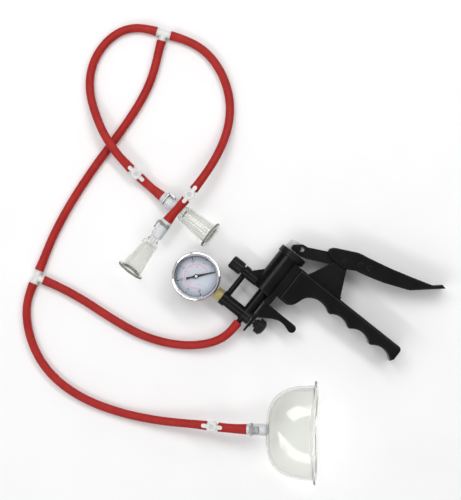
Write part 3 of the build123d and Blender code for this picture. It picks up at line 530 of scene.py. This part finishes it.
# ------------------------------------------------------------------ materials
class Finish:
    """A material made of nodes round one Principled shader. Places are in metres in the part's frame."""

    def __init__(self, name, **plain):
        self.material = bpy.data.materials.new(name)
        self.material.use_nodes = True
        self.tree = self.material.node_tree
        self.shader = self.tree.nodes["Principled BSDF"]
        self.place = self.node("ShaderNodeTexCoord").outputs["Object"]
        for socket, value in plain.items():
            self.shader.inputs[socket.replace("_", " ")].default_value = value

    def node(self, kind, inputs=None, **settings):
        made = self.tree.nodes.new(kind)
        for key, value in settings.items():
            setattr(made, key, value)
        for socket, value in (inputs or {}).items():
            if isinstance(value, bpy.types.NodeSocket):
                self.tree.links.new(value, made.inputs[socket])
            else:
                made.inputs[socket].default_value = value
        return made

    def noise(self, size, detail=3.0, stretch=(1.0, 1.0, 1.0), distortion=0.0):
        """Noise whose blots are about size metres across, longer where stretch is over 1."""
        mapping = self.node("ShaderNodeMapping", {"Vector": self.place})
        mapping.inputs["Scale"].default_value = [1.0 / (size * long) for long in stretch]
        return self.node("ShaderNodeTexNoise", {
            "Vector": mapping.outputs["Vector"], "Scale": 1.0, "Detail": detail, "Distortion": distortion,
        }).outputs[0]

    def ranged(self, value, low, high, start=0.3, end=0.7):
        return self.node("ShaderNodeMapRange", {
            "Value": value, "From Min": start, "From Max": end, "To Min": low, "To Max": high,
        }).outputs["Result"]

    def mixed(self, share, first, second):
        """Colour between two, by share. Each is a colour or a colour socket."""
        mix = self.node("ShaderNodeMix", data_type="RGBA")
        self.tree.links.new(share, mix.inputs[MIX_SHARE])
        for socket, colour in ((mix.inputs[MIX_FIRST], first), (mix.inputs[MIX_SECOND], second)):
            if isinstance(colour, bpy.types.NodeSocket):
                self.tree.links.new(colour, socket)
            else:
                socket.default_value = (*colour, 1.0)
        return mix.outputs[MIX_RESULT]

    def edges(self, reach, start=0.02, end=0.25):
        """1 along outer edges, 0 on open faces: the mask of a painted edge highlight."""
        rounded = self.node("ShaderNodeBevel", {"Radius": reach}, samples=4).outputs["Normal"]
        normal = self.node("ShaderNodeNewGeometry").outputs["Normal"]
        agree = self.node("ShaderNodeVectorMath", {0: rounded, 1: normal}, operation="DOT_PRODUCT")
        return self.ranged(agree.outputs["Value"], 1.0, 0.0, 1.0 - end, 1.0 - start)

    def wire(self, socket, value):
        self.tree.links.new(value, self.shader.inputs[socket])

    def bumps(self, heights, distance, strength=1.0, rounded=0.0):
        """Bump from a height socket, over edges rounded by that radius."""
        bump = self.node("ShaderNodeBump", {"Height": heights, "Distance": distance, "Strength": strength})
        if rounded:
            bevel = self.node("ShaderNodeBevel", {"Radius": rounded}, samples=4)
            self.tree.links.new(bevel.outputs["Normal"], bump.inputs["Normal"])
        self.wire("Normal", bump.outputs["Normal"])


def moulded_black(name, dark, light, painted_edge_highlight, roughness, grain):
    """Moulded or painted black: faint mottling, fine grain and a painted highlight along its edges."""
    finish = Finish(name, Specular_IOR_Level=0.11, Coat_Weight=0.05, Coat_Roughness=0.12)
    tone = finish.mixed(finish.ranged(finish.noise(0.018, 4.0), 0.0, 1.0), dark, light)
    # the lighter colour mixed in along the outer edges is a painted highlight
    finish.wire("Base Color", finish.mixed(finish.edges(0.5 * MM), tone, painted_edge_highlight))
    smear = finish.noise(0.009, 5.0, (3.0, 1.0, 1.0))
    finish.wire("Roughness", finish.ranged(smear, roughness - 0.05, roughness + 0.09))
    finish.bumps(finish.noise(grain, 2.0), 0.03 * MM, 0.5, rounded=0.45 * MM)
    return finish.material


def brushed(name, dark, light, roughness, stretch, grain=0.0006, depth=0.015 * MM):
    """Bare metal with fine drawn lines and a little tarnish."""
    finish = Finish(name, Metallic=1.0, Anisotropic=0.3)
    lines = finish.noise(grain, 3.0, stretch)
    stain = finish.noise(0.006, 4.0)
    tone = finish.mixed(finish.ranged(lines, 0.0, 1.0), dark, light)
    finish.wire("Base Color", finish.mixed(finish.ranged(stain, 0.0, 0.35, 0.5, 0.75), tone, dark))
    finish.wire("Roughness", finish.ranged(lines, roughness - 0.06, roughness + 0.1))
    finish.bumps(lines, depth, 0.4, rounded=0.2 * MM)
    return finish.material


def pale_plastic(name, dark, light, roughness, glow):
    """Light moulded plastic: cloudy, a little light inside, with painted shade in its creases."""
    finish = Finish(name, Subsurface_Weight=glow, Subsurface_Scale=1.5 * MM, Specular_IOR_Level=0.5)
    finish.shader.inputs["Subsurface Radius"].default_value = (1.0, 0.9, 0.8)
    cloud = finish.noise(0.004, 4.0)
    tone = finish.mixed(finish.ranged(cloud, 0.0, 1.0), dark, light)
    # ambient occlusion darkens the colour in creases: painted shade
    occlusion = finish.node("ShaderNodeAmbientOcclusion", {"Distance": 2.5 * MM}, samples=4).outputs["AO"]
    finish.wire("Base Color", finish.mixed(finish.ranged(occlusion, 0.65, 0.0, 0.25, 0.95), tone,
                                           [value * 0.5 for value in dark]))
    finish.wire("Roughness", finish.ranged(finish.noise(0.002, 3.0), roughness - 0.05, roughness + 0.08))
    finish.bumps(finish.noise(0.0007, 2.0), 0.02 * MM, 0.4, rounded=0.25 * MM)
    return finish.material


def red_rubber():
    """Satin latex hose: cloudy red, faint bloom and tiny pits."""
    finish = Finish("red_rubber", Specular_IOR_Level=0.26)
    cloud = finish.noise(0.012, 5.0)
    tone = finish.mixed(finish.ranged(cloud, 0.0, 1.0), (0.325, 0.010, 0.008), (0.40, 0.016, 0.012))
    bloom = finish.ranged(finish.noise(0.003, 6.0), 0.0, 0.14, 0.52, 0.8)
    finish.wire("Base Color", finish.mixed(bloom, tone, (0.43, 0.06, 0.05)))
    finish.wire("Roughness", finish.ranged(finish.noise(0.005, 4.0), 0.42, 0.60))
    finish.bumps(finish.noise(0.0009, 4.0), 0.04 * MM, 0.5)
    return finish.material


def clear_acrylic(name, tint, edge_shade_tint, roughness, streak, clarity=1.0):
    """Clear moulded acrylic that lets lamps through, with faint flow lines and its tint, which deepens at
    grazing angles as painted shade for the darker edges.
    """
    finish = Finish(name, Transmission_Weight=clarity, IOR=1.27, Coat_Weight=0.5, Coat_Roughness=0.05)
    graze = finish.node("ShaderNodeLayerWeight", {"Blend": 0.35}).outputs["Facing"]
    # the tint deepens towards grazing angles: painted shade for the darker edges
    finish.wire("Base Color", finish.mixed(finish.ranged(graze, 0.0, 1.0, 0.25, 0.95), tint, edge_shade_tint))
    finish.wire("Roughness", finish.ranged(finish.noise(0.006, 3.0), roughness, roughness + 0.05))
    finish.bumps(finish.noise(0.004, 2.0, streak), 0.05 * MM, 0.35)
    through = finish.node("ShaderNodeBsdfTransparent", {"Color": (*[0.5 + value / 2 for value in tint], 1.0)})
    ray = finish.node("ShaderNodeLightPath")
    mix = finish.node("ShaderNodeMixShader", {0: ray.outputs["Is Shadow Ray"]})
    finish.tree.links.new(finish.shader.outputs["BSDF"], mix.inputs[1])
    finish.tree.links.new(through.outputs["BSDF"], mix.inputs[2])
    finish.tree.links.new(mix.outputs["Shader"], finish.tree.nodes["Material Output"].inputs["Surface"])
    return finish.material


def dial_paper():
    """Pale blue-grey dial print, with painted shade darkening it towards its edge."""
    finish = Finish("dial_print", Specular_IOR_Level=0.3)
    offset = finish.node("ShaderNodeVectorMath", {0: finish.place, 1: DIAL}, operation="DISTANCE")
    # painted shade: the dial grows darker towards its edge
    rim = finish.ranged(offset.outputs["Value"], 0.0, 1.0, 12.0 * MM, 18.5 * MM)
    speck = finish.ranged(finish.noise(0.0012, 4.0), 0.0, 0.25)
    paper = finish.mixed(speck, (0.41, 0.43, 0.48), (0.46, 0.48, 0.53))
    finish.wire("Base Color", finish.mixed(rim, paper, (0.29, 0.32, 0.38)))
    finish.wire("Roughness", finish.ranged(finish.noise(0.002, 3.0), 0.45, 0.6))
    return finish.material


def ink(name, dark, light):
    """Print or paint between two tones."""
    finish = Finish(name, Specular_IOR_Level=0.2)
    finish.wire("Base Color", finish.mixed(finish.ranged(finish.noise(0.0005, 3.0), 0.0, 1.0), dark, light))
    finish.wire("Roughness", finish.ranged(finish.noise(0.002, 3.0), 0.5, 0.7))
    return finish.material


MATERIALS = {
    "black_plastic": moulded_black("black_plastic", (0.0035, 0.0035, 0.004), (0.007, 0.007, 0.0075),
                                   (0.055, 0.055, 0.057), 0.22, 0.0012),
    "black_metal": moulded_black("black_paint", (0.004, 0.004, 0.0045), (0.008, 0.008, 0.0085),
                                 (0.075, 0.075, 0.075), 0.26, 0.0006),
    "steel": brushed("drawn_steel", (0.42, 0.42, 0.43), (0.66, 0.66, 0.67), 0.30, (1.0, 12.0, 1.0)),
    "light_plastic": pale_plastic("grey_nylon", (0.50, 0.50, 0.49), (0.62, 0.62, 0.60), 0.42, 0.1),
    "rubber_seal": moulded_black("seal_rubber", (0.012, 0.012, 0.012), (0.02, 0.02, 0.02), (0.04, 0.04, 0.04),
                                 0.62, 0.0004),
    "brass": brushed("turned_brass", (0.42, 0.34, 0.15), (0.66, 0.56, 0.28), 0.36, (1.0, 10.0, 10.0)),
    "chrome_bezel": brushed("chrome", (0.62, 0.63, 0.65), (0.80, 0.81, 0.83), 0.10, (8.0, 8.0, 1.0), 0.002,
                            depth=0.002 * MM),
    "gauge_black": moulded_black("gauge_enamel", (0.010, 0.010, 0.012), (0.018, 0.018, 0.020),
                                 (0.07, 0.07, 0.075), 0.30, 0.0008),
    "lens": clear_acrylic("lens_acrylic", (0.97, 0.98, 0.99), (0.88, 0.91, 0.95), 0.0, (1.0, 1.0, 1.0)),
    "dial": dial_paper(),
    "red_hose": red_rubber(),
    "white_plastic": pale_plastic("white_plastic", (0.66, 0.66, 0.64), (0.78, 0.78, 0.76), 0.30, 0.12),
    "grey_plastic": pale_plastic("milky_plastic", (0.56, 0.575, 0.59), (0.72, 0.735, 0.75), 0.25, 0.2),
    "latch_steel": brushed("latch_steel", (0.40, 0.40, 0.40), (0.62, 0.62, 0.61), 0.28, (6.0, 6.0, 1.0)),
    "clear_plastic": clear_acrylic("clear_acrylic", (0.862, 0.868, 0.848), (0.54, 0.56, 0.54), 0.02,
                                   (1.0, 14.0, 1.0)),
}


def painted(piece, material):
    """Give the piece this material and no other."""
    piece.data.materials.clear()
    piece.data.materials.append(material)


for row in frame["record"]["subparts"]:
    if row["node"] in nodes:
        painted(nodes[row["node"]], MATERIALS[row["material_slot"]])
for hose_line in HOSES:
    painted(hose_line, MATERIALS["red_hose"])
painted(bell, MATERIALS["clear_plastic"])
painted(black_print, ink("black_ink", (0.012, 0.012, 0.014), (0.03, 0.03, 0.035)))
painted(red_print, ink("red_ink", (0.62, 0.10, 0.16), (0.72, 0.18, 0.24)))
for steel_piece in (needle_cap, return_coil, stem_coil):
    painted(steel_piece, MATERIALS["steel"])
for cap in spindle_caps.values():
    painted(cap, MATERIALS["grey_plastic"])
painted(nodes["gauge_needle"], ink("needle_paint", (0.006, 0.006, 0.007), (0.012, 0.012, 0.014)))
# dark tint of those flange bands: painted shade
flange_shade_finish = clear_acrylic("flange_shade_band", (0.24, 0.24, 0.21), (0.13, 0.13, 0.11), 0.25,
                            (1.0, 1.0, 1.0), clarity=0.25)
for side in ("left", "right"):
    painted(bpy.data.objects[f"flange_shade_band_{side}"], flange_shade_finish)

# ------------------------------------------------------------------ floor and surroundings
FLOOR_HALF = 6.0
floor_mesh = bpy.data.meshes.new("floor")
floor_corners = [(-FLOOR_HALF, -FLOOR_HALF, 0), (FLOOR_HALF, -FLOOR_HALF, 0), (FLOOR_HALF, FLOOR_HALF, 0),
                 (-FLOOR_HALF, FLOOR_HALF, 0)]
floor_mesh.from_pydata(floor_corners, [], [(0, 1, 2, 3)])
floor = linked("floor", floor_mesh)
floor_finish = Finish("floor_paper", Specular_IOR_Level=0.1)
floor_finish.wire("Base Color", floor_finish.mixed(
    floor_finish.ranged(floor_finish.noise(0.05, 3.0), 0.0, 1.0), (0.90, 0.90, 0.90), (0.92, 0.92, 0.92)))
floor_finish.wire("Roughness", floor_finish.ranged(floor_finish.noise(0.01, 3.0), 0.8, 0.95))
painted(floor, floor_finish.material)

world = bpy.data.worlds.new("studio")
scene.world = world
world.use_nodes = True
sky = world.node_tree
sky_place = sky.nodes.new("ShaderNodeTexCoord")
sky_split = sky.nodes.new("ShaderNodeSeparateXYZ")
sky_ramp = sky.nodes.new("ShaderNodeValToRGB")
sky.links.new(sky_place.outputs["Generated"], sky_split.inputs[0])
sky.links.new(sky_split.outputs["Z"], sky_ramp.inputs["Fac"])
sky_ramp.color_ramp.elements[0].position = 0.35
sky_ramp.color_ramp.elements[0].color = (1.0, 1.0, 1.0, 1.0)
sky_ramp.color_ramp.elements[1].position = 0.95
sky_ramp.color_ramp.elements[1].color = (0.80, 0.80, 0.81, 1.0)
sky_colour = sky_ramp.outputs["Color"]
# dark flags of the studio, for the arcs that polished metal and clear edges show
FLAGS = [(VIEW_RIGHT * 0.9 - VIEW_UP * 0.35, 0.34), (VIEW_RIGHT * -0.75 + VIEW_UP * 0.75, 0.16)]
FLAG_RISE = Vector((0, 0, 0.25))
FLAG_COLOUR = (0.06, 0.06, 0.07, 1.0)
for toward, spread in FLAGS:
    agree = sky.nodes.new("ShaderNodeVectorMath")
    agree.operation = "DOT_PRODUCT"
    agree.inputs[1].default_value = (toward + FLAG_RISE).normalized()
    share = sky.nodes.new("ShaderNodeMapRange")
    share.inputs["From Min"].default_value = 1.0 - spread
    share.inputs["From Max"].default_value = 1.0 - spread / 3
    flagged = sky.nodes.new("ShaderNodeMix")
    flagged.data_type = "RGBA"
    flagged.inputs[MIX_SECOND].default_value = FLAG_COLOUR
    sky.links.new(sky_place.outputs["Generated"], agree.inputs[0])
    sky.links.new(agree.outputs["Value"], share.inputs["Value"])
    sky.links.new(share.outputs["Result"], flagged.inputs[MIX_SHARE])
    sky.links.new(sky_colour, flagged.inputs[MIX_FIRST])
    sky_colour = flagged.outputs[MIX_RESULT]
sky.links.new(sky_colour, sky.nodes["Background"].inputs["Color"])
sky.nodes["Background"].inputs["Strength"].default_value = 0.68
scene.view_settings.view_transform = "Standard"
